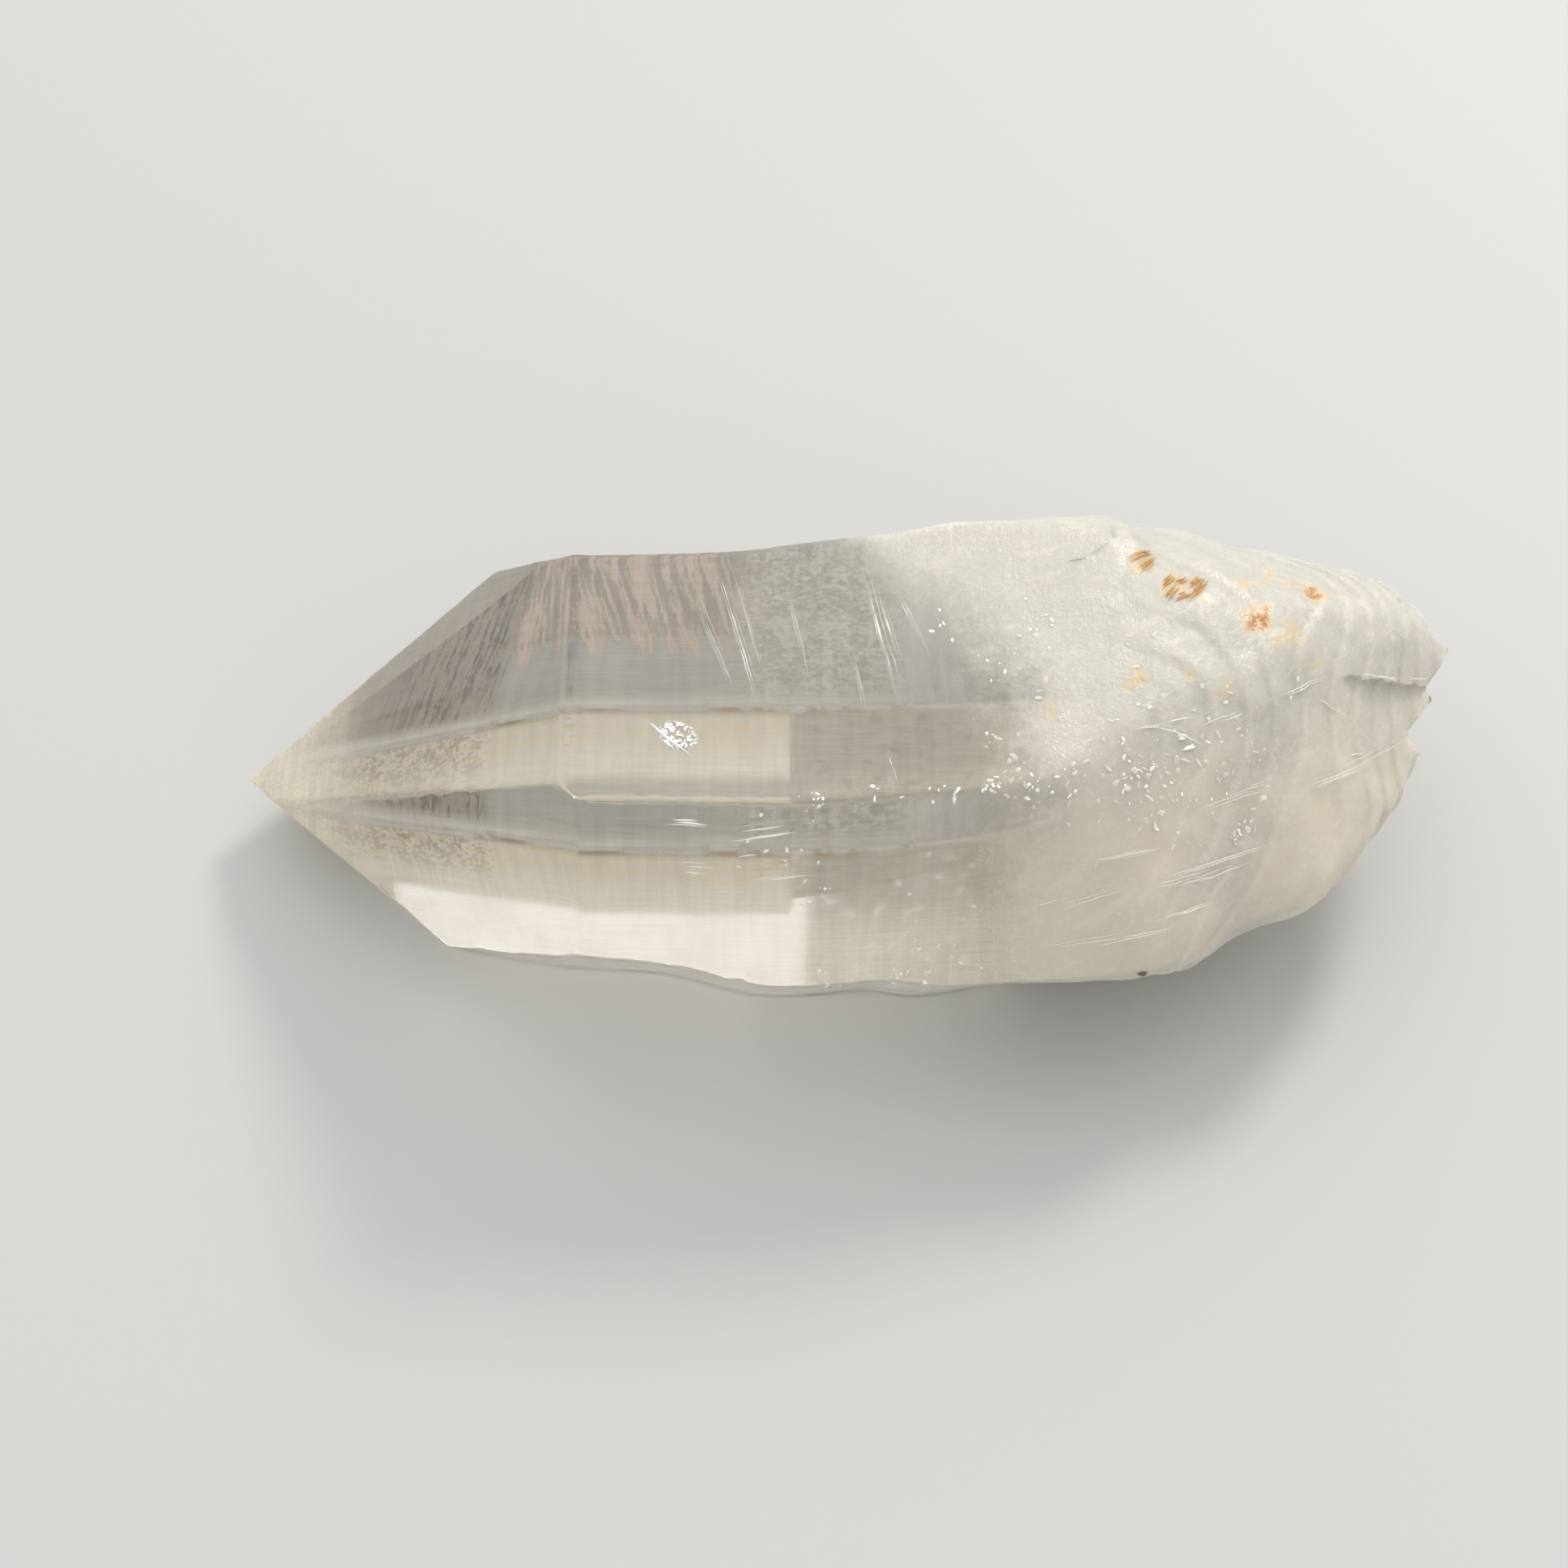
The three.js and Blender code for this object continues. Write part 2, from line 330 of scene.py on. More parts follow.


# films and painted shade on the clear half's hidden faces, in metres. A cream film lies on the face that it
# rests on, from the point to a step, and a duller one lies beyond the step. Painted shade lies on the lower
# back face, strongest near the floor, standing in for the shaded floor seen through it. The edges are rusty
# and the tip is hazy.
# The back of the base has growth ridges, and clouds of this many waves a metre drift through the whole
# crystal.
filmsAndShade = {
    "creamEnd": -5.4 * mm,
    "creamFade": 0.8 * mm,
    "creamFront": (-3.5 * mm, 1.0 * mm),
    "dullFrom": (-5.0 * mm, -3.2 * mm),
    "dullest": (-6.0 * mm, 3.0 * mm),
    "creamBack": (0.5 * mm, 7 * mm),
    "shadeLow": (4 * mm, 10 * mm),
    "shadeBelow": 0.62,
    "shadeAbove": 0.34,
    "rustAbove": 0.5 * mm,
    "rustFrom": 7.7 * mm,
    "rustEnd": (-4 * mm, 4 * mm),
    "tip": (-48 * mm, -60 * mm),
    "ridgedBack": (14 * mm, 18 * mm),
    "ridgedBase": (26 * mm, 31 * mm),
    "clouds": 110.0,
    "cloudForm": (0.9, 2.0, 4),
    "underTurn": (0.8, 0.95),  # how squarely a face looks down to count as the underside
    "backTurn": (0.85, 0.95),  # and how squarely it looks back to count as a back face
}

# where the colours on the back face change, in metres: along X it starts, turns from mottled grey to
# streaked red-brown, reaches the point and fades there. A pale band lies above a slanting line on the
# point, and a pale strip along the lower edge. The flames are the ragged lower end of its red-brown part.
# The mottled grey, the grey below the flames and the dark brown on the point are painted shade, standing
# in for the shaded floor seen through the crystal; the red-brown streaks are veils in it.
backFilmAndShade = {
    "start": (12 * mm, 2 * mm),
    "redFrom": (-7 * mm, -15 * mm),
    "point": (-28.4 * mm, -31.2 * mm),
    "pointFade": (-38 * mm, -50 * mm),
    "bandSlope": 0.63,
    "band": (39.1 * mm, 39.5 * mm),
    "strip": (2.7 * mm, 0.8 * mm),
    "flames": (8.0 * mm, 9.5 * mm),
    "flameReach": 16 * mm,
    "amount": 0.86,
    "outerAmount": 0.4,
}
prismBack = (0.0, 0.866, -0.5)  # which way the lower back face looks
pointBack = (-0.62, 0.64, 0.45)  # and the back face of the point

# iron stains on top of the base, in mm: x, y, half the length, half the width, strength, hatched or not
stains = [
    (31.4, 14.2, 2.6, 1.4, 0.50, 1),
    (34.2, 10.2, 2.1, 1.2, 0.45, 1),
    (36.6, 10.0, 2.5, 2.0, 0.50, 1),
    (42.6, 6.4, 1.8, 1.2, 1.5, 0),
    (43.7, 8.4, 1.1, 0.7, 0.8, 0),
    (42.4, 11.6, 1.8, 1.4, 0.36, 0),
    (45.2, 14.8, 2.0, 0.6, 0.4, 1),
    (47.7, 14.0, 1.6, 0.8, 0.5, 1),
    (50.2, 12.4, 1.5, 1.1, 1.2, 0),
    (52.8, 13.4, 1.9, 0.8, 0.4, 1),
    (46.4, 5.0, 2.6, 1.5, 0.36, 0),
    (48.6, 3.0, 1.8, 1.2, 0.28, 0),
    (29.4, -2.2, 1.4, 0.8, 0.6, 0),
    (35.5, -0.9, 1.2, 0.7, 0.5, 0),
    (38.4, -2.5, 1.6, 0.9, 0.34, 0),
    (20.3, -5.7, 1.5, 0.9, 0.5, 0),
]
stainTurn = 55.0  # the way the hatching runs, in degrees from +X
stainBend = (1.6 * mm, 420.0)  # how far the stains' edges wander, and how often, in waves a metre
stainHeight = (18 * mm, 24 * mm)  # they fade out between these heights

# where small bright chips lie on the surface, in mm: x, y, z, how far they spread, and how thickly
chipPatches = [
    (-28.2, -16.8, 36.0, 0.7, 2.6),
    (-3.4, -17.0, 36.0, 0.8, 3.2),
    (-0.6, -16.9, 36.0, 0.7, 1.6),
    (2.4, -16.6, 36.0, 0.8, 1.2),
    (5.2, -16.5, 36.0, 0.8, 1.8),
    (8.0, -16.2, 36.0, 0.8, 2.0),
    (10.6, -15.8, 36.0, 0.8, 1.4),
    (14.0, -15.3, 36.0, 0.9, 1.2),
    (18.0, -14.8, 35.8, 1.1, 1.4),
    (22.0, -14.4, 35.4, 1.5, 1.1),
    (10.4, 4.6, 36.0, 2.2, 0.20),
    (15.2, 0.4, 36.0, 1.7, 0.55),
    (19.6, 5.6, 36.0, 1.5, 0.35),
    (14.6, -9.2, 36.0, 0.5, 1.6),
    (29.5, -13.0, 33.3, 3.0, 0.35),
    (34.0, -12.6, 31.6, 3.2, 0.4),
    (38.5, -11.6, 29.4, 2.6, 0.3),
    (30.0, -9.0, 34.6, 3.4, 0.2),
    (41.0, -14.0, 25.2, 1.2, 0.6),
    (47.0, -0.6, 31.8, 1.0, 0.9),
    (-9.0, -19.5, 31.6, 2.6, 0.35),
    (-5.0, -20.5, 29.5, 2.0, 0.5),
    (-3.5, -22.0, 27.0, 1.4, 0.45),
    (-2.0, -26.8, 18.4, 1.5, 0.7),
    (7.0, -26.6, 19.6, 1.8, 0.5),
    (11.0, -26.4, 19.4, 2.4, 0.4),
    (-19.0, 18.5, 34.6, 1.2, 0.8),
    (-24.0, 18.3, 34.6, 0.8, 0.8),
]
# and where larger pale flecks lie, in the same way
fleckPatches = [
    (17.0, -14.0, 35.5, 3.0, 0.6),
    (24.0, -10.5, 35.0, 5.0, 0.9),
    (31.0, -11.5, 32.5, 5.0, 1.0),
    (38.0, -9.0, 31.0, 4.5, 0.8),
    (41.0, -13.5, 26.0, 2.5, 0.6),
    (38.5, -4.5, 33.8, 2.5, 0.7),
    (20.0, -6.5, 36.0, 3.0, 0.3),
    (19.5, 2.0, 36.0, 3.0, 0.3),
    (31.0, 0.5, 36.0, 3.0, 0.35),
    (12.8, -23.0, 25.0, 5.0, 0.12),
    (6.0, -25.5, 20.0, 5.0, 0.3),
]


def stainMask(spots, hatched):
    turn = math.radians(stainTurn)
    amount = np.zeros(len(spots))
    reach, often = stainBend
    spots = spots + np.array([noise.noise_vector(Vector(spot) * often) for spot in spots]) * reach
    for x, y, length, width, strength, isHatched in stains:
        if isHatched != hatched:
            continue
        dx, dy = spots[:, 0] - x * mm, spots[:, 1] - y * mm
        along = (dx * math.cos(turn) + dy * math.sin(turn)) / (length * mm)
        across = (dy * math.cos(turn) - dx * math.sin(turn)) / (width * mm)
        amount = np.maximum(amount, strength * np.exp(-(along**2 + across**2)))
    return amount * smoothstep(spots[:, 2], *stainHeight)


def chipMask(spots, patches):
    amount = np.zeros(len(spots))
    for x, y, z, spread, strength in patches:
        apart = np.linalg.norm(spots / mm - (x, y, z), axis=1) / spread
        amount = np.maximum(amount, strength * np.exp(-(apart**2)))
    return np.where(amount > 0.02, amount, 0.0)


def paintMasks(mesh):
    spots = valuesOf(mesh.vertices, "co", 3)
    normals = valuesOf(mesh.vertices, "normal", 3)
    along, height = spots[:, 0], spots[:, 2]
    paintMask(mesh, "milk", milkMask(spots))
    under = smoothstep(-normals[:, 2], *filmsAndShade["underTurn"])
    back = smoothstep(normals @ np.array(prismBack), *filmsAndShade["backTurn"])
    end, fade = filmsAndShade["creamEnd"], filmsAndShade["creamFade"]
    step = 1 - smoothstep(along, end - fade, end + fade)
    paintMask(mesh, "under", under)
    paintMask(mesh, "cream", under * step * smoothstep(spots[:, 1], *filmsAndShade["creamFront"]))
    # painted shade on the lower back face, strongest near the floor, for the shaded floor seen through it
    low = 1 - smoothstep(height, *filmsAndShade["shadeLow"])
    smokeAndShade = filmsAndShade["shadeAbove"] + low * (filmsAndShade["shadeBelow"] - filmsAndShade["shadeAbove"])
    paintMask(mesh, "floorShade", back * smokeAndShade)
    paintMask(mesh, "back", back)
    paintMask(mesh, "dull", under * smoothstep(along, *filmsAndShade["dullFrom"]))
    rust = back * (1 - smoothstep(height, 0.0, filmsAndShade["rustAbove"]))
    rust = np.maximum(rust, under * smoothstep(spots[:, 1], filmsAndShade["rustFrom"], filmsAndShade["rustFrom"] + mm))
    paintMask(mesh, "rust", rust * (1 - smoothstep(along, *filmsAndShade["rustEnd"])))
    paintMask(mesh, "veiled", smoothstep(normals @ np.array(pointBack), *filmsAndShade["backTurn"]))
    clouds = [noise.fractal(Vector(spot) * filmsAndShade["clouds"], *filmsAndShade["cloudForm"]) for spot in spots]
    paintMask(mesh, "cloud", np.array(clouds) * 0.5 + 0.5)
    paintMask(mesh, "tip", smoothstep(along, *filmsAndShade["tip"]))
    ridged = smoothstep(spots[:, 1], *filmsAndShade["ridgedBack"]) * smoothstep(along, *filmsAndShade["ridgedBase"])
    paintMask(mesh, "ridged", ridged)
    paintMask(mesh, "hatched", stainMask(spots, 1))
    paintMask(mesh, "blotched", stainMask(spots, 0))
    paintMask(mesh, "chips", chipMask(spots, chipPatches))
    paintMask(mesh, "flecks", chipMask(spots, fleckPatches))


paintMasks(quartz.data)
report("masks painted")


# the finish of the quartz: its clear part, the haze, the films and the painted shade in it, and its milky
# base
clear = {
    "tint": (0.985, 0.978, 0.96),
    "roughness": 0.012,
    "dullRoughness": 0.06,
    "ior": 1.544,
    "smokeAndShade": (0.66, 0.56, 0.42),
    "smokeDensity": 5.0,
    "relief": (0.5, 0.03 * mm),  # how strong the growth lines are, and how deep
}
hazeAndShade = {
    "colour": (0.85, 0.825, 0.73),
    "cream": (0.99, 0.97, 0.89),
    "creamLine": (0.90, 0.81, 0.63),
    "speck": (0.58, 0.51, 0.41),
    "dull": (0.62, 0.60, 0.54),
    "tip": (0.98, 0.93, 0.80),
    # the next colours are partly painted shade: the smoky grey, the greys and the dark browns stand in for
    # the shaded floor seen through the back faces
    "floorShade": (0.25, 0.255, 0.24),
    "blueGrey": (0.43, 0.435, 0.405),
    "greenGrey": (0.33, 0.295, 0.24),
    "salmon": (0.62, 0.49, 0.40),
    "patch": (0.42, 0.41, 0.365),
    "palePatch": (0.64, 0.63, 0.58),
    "brown": (0.31, 0.27, 0.21),
    "darkBrown": (0.06, 0.05, 0.036),
    "paleBrown": (0.25, 0.22, 0.175),
    "band": (0.42, 0.385, 0.335),
    "strip": (0.66, 0.65, 0.60),
    "rust": (0.46, 0.36, 0.24),
    "roughness": 0.5,
    "glow": 0.5,  # how much of it is light from behind
    "floorShadeDepth": 3.0,  # how soon it takes the colour of the painted floor shade
    "creamLinesFront": 0.25,  # how strong the cream film's lines are in front, where they are 1 at the back
    "crossLines": (0.92, 1.08),  # how dark and how bright the fine lines along the crystal are
    "lines": (0.93, 1.07),  # and those across it
}
milky = {
    "white": (0.545, 0.527, 0.48),
    "grey": (0.505, 0.495, 0.44),
    "beige": (0.65, 0.59, 0.485),
    "vein": (0.68, 0.64, 0.55),
    "stain": (0.46, 0.20, 0.045),
    "paleStain": (0.66, 0.53, 0.33),
    "scatter": 3.4 * mm,
    "scatterColour": (1.0, 0.90, 0.78),
    "roughness": (0.30, 0.54),
    "sheen": 0.25,
    "sheenRoughness": 0.3,
    "relief": (0.45, 0.35 * mm),
    "front": (36 * mm, 18 * mm, 0.1, 1.0),  # how low the white top turns beige, and how much
    "frontSlope": 0.6,  # and how much sooner towards the front
    "paleFrom": (0.04, 0.34),  # where the iron is pale, and where it is full
    "stainFrom": (0.22, 0.85),
    "ridges": (0.35, 0.9),  # the growth ridges' height everywhere, and what the ridged back adds
    "pits": {"mottle": 0.7, "grain": 0.85},
    "edge": {"cloud": 0.5, "mottle": 0.6, "grain": 0.25},  # how far the patterns move its edge
    "amount": (0.15, 1.0, 0.0, 0.96),  # where it starts and is full, and how much that is
}


# how much veil and painted shade there is in the glass; the pairs run from where a pattern is low to where
# it is high
hazeAndShadeAmounts = {
    "cream": 0.96,
    "under": 0.5,
    "dull": (0.38, 0.2),
    "cloud": (0.02, 0.08),
    "floorShade": (0.8, 0.55),
    "floorShadeOutside": 0.3,  # seen from outside, next to 1 seen through the crystal
    "rust": 0.3,
    "veiled": 0.35,
    "tip": 0.65,
    "milk": 0.3,
}

# the patterns in the finish, each with its noise's scale in waves a metre, detail, roughness and
# distortion. Some are stretched, and turned in degrees.
patterns = {
    "lines": {"noise": (1100, 3, 0.65, 0.3), "stretch": (1, 20, 20)},
    "crossLines": {"noise": (3000, 2, 0.6, 0), "stretch": (26, 1, 1)},
    "streaks": {"noise": (1100, 4, 0.7, 0.2), "stretch": (1, 10, 10), "turn": (0, -12, 0)},
    "pointStreaks": {"noise": (1500, 4, 0.75, 0.1), "stretch": (1, 9, 9), "turn": (0, 7, 0)},
    "mottle": {"noise": (420, 4, 0.65, 0)},
    "grain": {"noise": (1500, 3, 0.7, 0)},
    "veins": {"noise": (420, 4, 0.6, 0.4), "stretch": (6, 1, 1), "turn": (0, -20, 25)},
    "hatch": {"noise": (1700, 2, 0.5, 0), "stretch": (10, 1, 3), "turn": (0, 0, stainTurn)},
}
patchMix = {"grain": 0.6, "mottle": 0.4}  # one more pattern, mixed from two of these

# how the finish reads a pattern for each thing in it: which one, between which of its values, and in some
# the amounts at the two ends
readings = {
    "redStreaks": ("streaks", 0.44, 0.56),
    "greyPatches": ("patches", 0.42, 0.58),
    "brownStreaks": ("pointStreaks", 0.42, 0.53),
    "creamLines": ("crossLines", 0.38, 0.62),
    "specks": ("patches", 0.53, 0.45),
    "fineAlong": ("crossLines", 0.3, 0.7),
    "fineAcross": ("lines", 0.3, 0.7),
    "dullHaze": ("mottle", 0.52, 0.66),
    "cloudHaze": ("cloud", 0.3, 0.7),
    "floorShadeHaze": ("streaks", 0.36, 0.64),
    "rustHaze": ("grain", 0.4, 0.6, 0.0, hazeAndShadeAmounts["rust"]),
    "glassRoughness": ("mottle", 0.45, 0.75),
    "hatching": ("hatch", 0.44, 0.54),
    "blotches": ("grain", 0.36, 0.58, 0.25, 1.0),
    "warmMilk": ("cloud", 0.25, 0.7, 0.5, 1.0),
    "greyMilk": ("cloud", 0.40, 0.65, 0.1, 0.8),
    "paleVeins": ("veins", 0.54, 0.68, 0.0, 0.5),
    "paleGrains": ("grain", 0.54, 0.68, 0.0, 0.55),
    "milkyRoughness": ("mottle", 0.35, 0.7),
}


def patternNode(tree, place, name):
    pattern = patterns[name]
    turn = [math.radians(angle) for angle in pattern.get("turn", (0, 0, 0))]
    turned = {"Vector": place, "Rotation": turn, "Scale": pattern.get("stretch", (1, 1, 1))}
    turned = addNode(tree, "ShaderNodeMapping", turned, vector_type="TEXTURE")["Vector"]
    values = zip(("Scale", "Detail", "Roughness", "Distortion"), pattern["noise"])
    return addNode(tree, "ShaderNodeTexNoise", {"Vector": turned, **dict(values)})["Fac"]


def mathNode(tree, operation, *values, clamp=False):
    values = dict(enumerate(values))
    return addNode(tree, "ShaderNodeMath", values, operation=operation, use_clamp=clamp)[0]


def mixColour(tree, amount, first, second):
    first, second = ((*c, 1.0) if isinstance(c, tuple) else c for c in (first, second))
    return addNode(tree, "ShaderNodeMix", {0: amount, 6: first, 7: second}, data_type="RGBA")[2]


def times(tree, first, second):
    return mathNode(tree, "MULTIPLY", first, second)


def plus(tree, first, second):
    return mathNode(tree, "ADD", first, second)


def largest(tree, first, second):
    return mathNode(tree, "MAXIMUM", first, second)


def fromMiddle(tree, pattern, amount):
    # swings evenly round zero
    return times(tree, mathNode(tree, "SUBTRACT", pattern, 0.5), amount)


def reading(tree, look, name, *amounts):
    pattern, *limits = readings[name]
    return rampNode(tree, look[pattern], *limits, *amounts)


def blend(tree, look, shares):
    first, second = (times(tree, look[name], share) for name, share in shares.items())
    return plus(tree, first, second)


def bumpNode(tree, height, strength, distance):
    inputs = {"Height": height, "Strength": strength, "Distance": distance}
    return addNode(tree, "ShaderNodeBump", inputs)["Normal"]


def quartzLook(tree):
    # every pattern, mask and place that the finish reads, by name
    place = addNode(tree, "ShaderNodeTexCoord", {})["Object"]
    axes = addNode(tree, "ShaderNodeSeparateXYZ", {0: place})
    look = {axis: axes[axis] for axis in "XYZ"}
    for name in patterns:
        look[name] = patternNode(tree, place, name)
    for name in finishMasks:
        look[name] = addNode(tree, "ShaderNodeAttribute", {}, attribute_name=name)["Fac"]
    look["inside"] = addNode(tree, "ShaderNodeNewGeometry", {})["Backfacing"]
    floorShade = rampNode(tree, look["inside"], 0.0, 1.0, hazeAndShadeAmounts["floorShadeOutside"], 1.0)
    look["floorShade"] = times(tree, look["floorShade"], floorShade)
    look["filmed"] = times(tree, look["back"], rampNode(tree, look["X"], *backFilmAndShade["start"]))
    look["pointPart"] = rampNode(tree, look["X"], *backFilmAndShade["point"])
    look["patches"] = blend(tree, look, patchMix)
    return look


def backFilmAndShadeColour(tree, look):
    # mottled grey, then red-brown streaks with a ragged lower end, then dark brown streaks on the point;
    # the greys and the dark brown are painted shade of the floor seen through the crystal
    redPart = mixColour(tree, reading(tree, look, "redStreaks"), hazeAndShade["greenGrey"], hazeAndShade["salmon"])
    flames = plus(tree, look["Z"], fromMiddle(tree, look["streaks"], backFilmAndShade["flameReach"]))
    redPart = mixColour(tree, rampNode(tree, flames, *backFilmAndShade["flames"]), hazeAndShade["blueGrey"], redPart)
    greyPart = mixColour(tree, reading(tree, look, "greyPatches"), hazeAndShade["patch"], hazeAndShade["palePatch"])
    colour = mixColour(tree, rampNode(tree, look["X"], *backFilmAndShade["redFrom"]), greyPart, redPart)
    brownPart = mixColour(tree, reading(tree, look, "brownStreaks"), hazeAndShade["darkBrown"], hazeAndShade["brown"])
    fade = rampNode(tree, look["X"], *backFilmAndShade["pointFade"])
    brownPart = mixColour(tree, fade, brownPart, hazeAndShade["paleBrown"])
    colour = mixColour(tree, look["pointPart"], colour, brownPart)
    bandPlace = mathNode(tree, "MULTIPLY_ADD", look["X"], -backFilmAndShade["bandSlope"], look["Z"])
    band = times(tree, look["pointPart"], rampNode(tree, bandPlace, *backFilmAndShade["band"]))
    colour = mixColour(tree, band, colour, hazeAndShade["band"])
    return mixColour(tree, rampNode(tree, look["Z"], *backFilmAndShade["strip"]), colour, hazeAndShade["strip"])


def veilAndShadeColour(tree, look):
    backSide = rampNode(tree, look["Y"], *filmsAndShade["creamBack"])
    creamLines = rampNode(tree, backSide, 0.0, 1.0, hazeAndShade["creamLinesFront"], 1.0)
    creamLines = times(tree, reading(tree, look, "creamLines"), creamLines)
    creamShade = mixColour(tree, creamLines, hazeAndShade["cream"], hazeAndShade["creamLine"])
    specks = times(tree, look["pointPart"], backSide)
    specks = times(tree, specks, reading(tree, look, "specks"))
    creamShade = mixColour(tree, specks, creamShade, hazeAndShade["speck"])
    dullShade = times(tree, look["dull"], rampNode(tree, look["Y"], *filmsAndShade["dullest"]))
    colour = mixColour(tree, dullShade, hazeAndShade["colour"], hazeAndShade["dull"])
    colour = mixColour(tree, look["tip"], colour, hazeAndShade["tip"])
    colour = mixColour(tree, look["cream"], colour, creamShade)
    # the painted shade of the floor seen through the lower back face
    floorShade = mathNode(tree, "MULTIPLY", look["floorShade"], hazeAndShade["floorShadeDepth"], clamp=True)
    colour = mixColour(tree, floorShade, colour, hazeAndShade["floorShade"])
    colour = mixColour(tree, look["filmed"], colour, backFilmAndShadeColour(tree, look))
    colour = mixColour(tree, look["rust"], colour, hazeAndShade["rust"])

    # fine lines along and across the crystal show in all of it
    along = reading(tree, look, "fineAlong", *hazeAndShade["crossLines"])
    across = reading(tree, look, "fineAcross", *hazeAndShade["lines"])
    woven = {0: colour, "Scale": times(tree, along, across)}
    return addNode(tree, "ShaderNodeVectorMath", woven, operation="SCALE")[0]


def hazeAndShadeAmount(tree, look):
    creamy = times(tree, look["cream"], hazeAndShadeAmounts["cream"])
    amount = largest(tree, creamy, times(tree, look["under"], hazeAndShadeAmounts["under"]))
    dulled = times(tree, look["dull"], reading(tree, look, "dullHaze", *hazeAndShadeAmounts["dull"]))
    amount = plus(tree, amount, dulled)
    amount = plus(tree, amount, reading(tree, look, "cloudHaze", *hazeAndShadeAmounts["cloud"]))
    floorShaded = times(tree, look["floorShade"], reading(tree, look, "floorShadeHaze", *hazeAndShadeAmounts["floorShade"]))
    amount = plus(tree, amount, floorShaded)
    film = rampNode(tree, look["inside"], 0.0, 1.0, backFilmAndShade["outerAmount"], backFilmAndShade["amount"])
    amount = largest(tree, amount, times(tree, look["filmed"], film))
    amount = plus(tree, amount, times(tree, look["rust"], reading(tree, look, "rustHaze")))
    for name in ("veiled", "tip", "milk"):
        amount = plus(tree, amount, times(tree, look[name], hazeAndShadeAmounts[name]))
    return mathNode(tree, "ADD", amount, 0.0, clamp=True)


def mixShader(tree, amount, first, second):
    return addNode(tree, "ShaderNodeMixShader", {0: amount, 1: first, 2: second})[0]


def glassShader(tree, look):
    glass = {
        "Base Color": (*clear["tint"], 1.0),
        "Roughness": reading(tree, look, "glassRoughness", clear["roughness"], clear["dullRoughness"]),
        "IOR": clear["ior"],
        "Transmission Weight": 1.0,
        "Normal": bumpNode(tree, look["lines"], *clear["relief"]),
    }
    return addNode(tree, "ShaderNodeBsdfPrincipled", glass)[0]


def veilAndShadeShader(tree, look):
    # the haze, the films and the painted shade glow with the light behind them, but for those on the
    # underside
    colour = veilAndShadeColour(tree, look)
    front = {"Base Color": colour, "Roughness": hazeAndShade["roughness"]}
    front = addNode(tree, "ShaderNodeBsdfPrincipled", front)[0]
    behind = addNode(tree, "ShaderNodeBsdfTranslucent", {"Color": colour})[0]
    glow = rampNode(tree, look["under"], 0.0, 1.0, hazeAndShade["glow"], 0.0)
    return mixShader(tree, glow, front, behind)


def ironAmount(tree, look):
    hatched = times(tree, look["hatched"], reading(tree, look, "hatching"))
    blotched = times(tree, look["blotched"], reading(tree, look, "blotches"))
    return largest(tree, hatched, blotched)


def milkyShader(tree, look, iron):
    # white above, grey in clouds and beige in front, with pale veins and grains, and iron stains
    frontSide = plus(tree, look["Z"], times(tree, look["Y"], milky["frontSlope"]))
    frontSide = rampNode(tree, frontSide, *milky["front"])
    warm = times(tree, frontSide, reading(tree, look, "warmMilk"))
    colour = mixColour(tree, reading(tree, look, "greyMilk"), milky["white"], milky["grey"])
    colour = mixColour(tree, warm, colour, milky["beige"])
    colour = mixColour(tree, reading(tree, look, "paleVeins"), colour, milky["vein"])
    colour = mixColour(tree, reading(tree, look, "paleGrains"), colour, milky["vein"])
    colour = mixColour(tree, rampNode(tree, iron, *milky["paleFrom"]), colour, milky["paleStain"])
    colour = mixColour(tree, rampNode(tree, iron, *milky["stainFrom"]), colour, milky["stain"])
    everywhere, more = milky["ridges"]
    ridges = times(tree, look["lines"], plus(tree, times(tree, look["ridged"], more), everywhere))
    relief = plus(tree, ridges, blend(tree, look, milky["pits"]))
    base = {
        "Base Color": colour,
        "Roughness": reading(tree, look, "milkyRoughness", *milky["roughness"]),
        "IOR": clear["ior"],
        "Sheen Weight": milky["sheen"],
        "Sheen Roughness": milky["sheenRoughness"],
        "Subsurface Weight": 1.0,
        "Subsurface Radius": milky["scatterColour"],
        "Subsurface Scale": milky["scatter"],
        "Normal": bumpNode(tree, relief, *milky["relief"]),
    }
    return addNode(tree, "ShaderNodeBsdfPrincipled", base)[0]


def milkAmount(tree, look, iron):
    amount = look["milk"]
    for name, reach in milky["edge"].items():
        amount = plus(tree, amount, fromMiddle(tree, look[name], reach))
    return mathNode(tree, "MAXIMUM", rampNode(tree, amount, *milky["amount"]), iron, clamp=True)


def quartzMaterial():
    material = bpy.data.materials.new("quartz_finish_and_shade")
    material.use_nodes = True
    tree = material.node_tree
    tree.nodes.clear()
    look = quartzLook(tree)
    veilAndShade = veilAndShadeShader(tree, look)
    clearPart = mixShader(tree, hazeAndShadeAmount(tree, look), glassShader(tree, look), veilAndShade)
    iron = ironAmount(tree, look)
    milkyPart = mixShader(tree, look["inside"], milkyShader(tree, look, iron), veilAndShade)  # a veil from inside
    surface = mixShader(tree, milkAmount(tree, look, iron), clearPart, milkyPart)
    smokeAndShade = {"Color": (*clear["smokeAndShade"], 1.0), "Density": clear["smokeDensity"]}
    smokeAndShade = addNode(tree, "ShaderNodeVolumeAbsorption", smokeAndShade)[0]
    addNode(tree, "ShaderNodeOutputMaterial", {"Surface": surface, "Volume": smokeAndShade})
    return material


quartz.data.materials.clear()
quartz.data.materials.append(quartzMaterial())
report("quartz finish made")


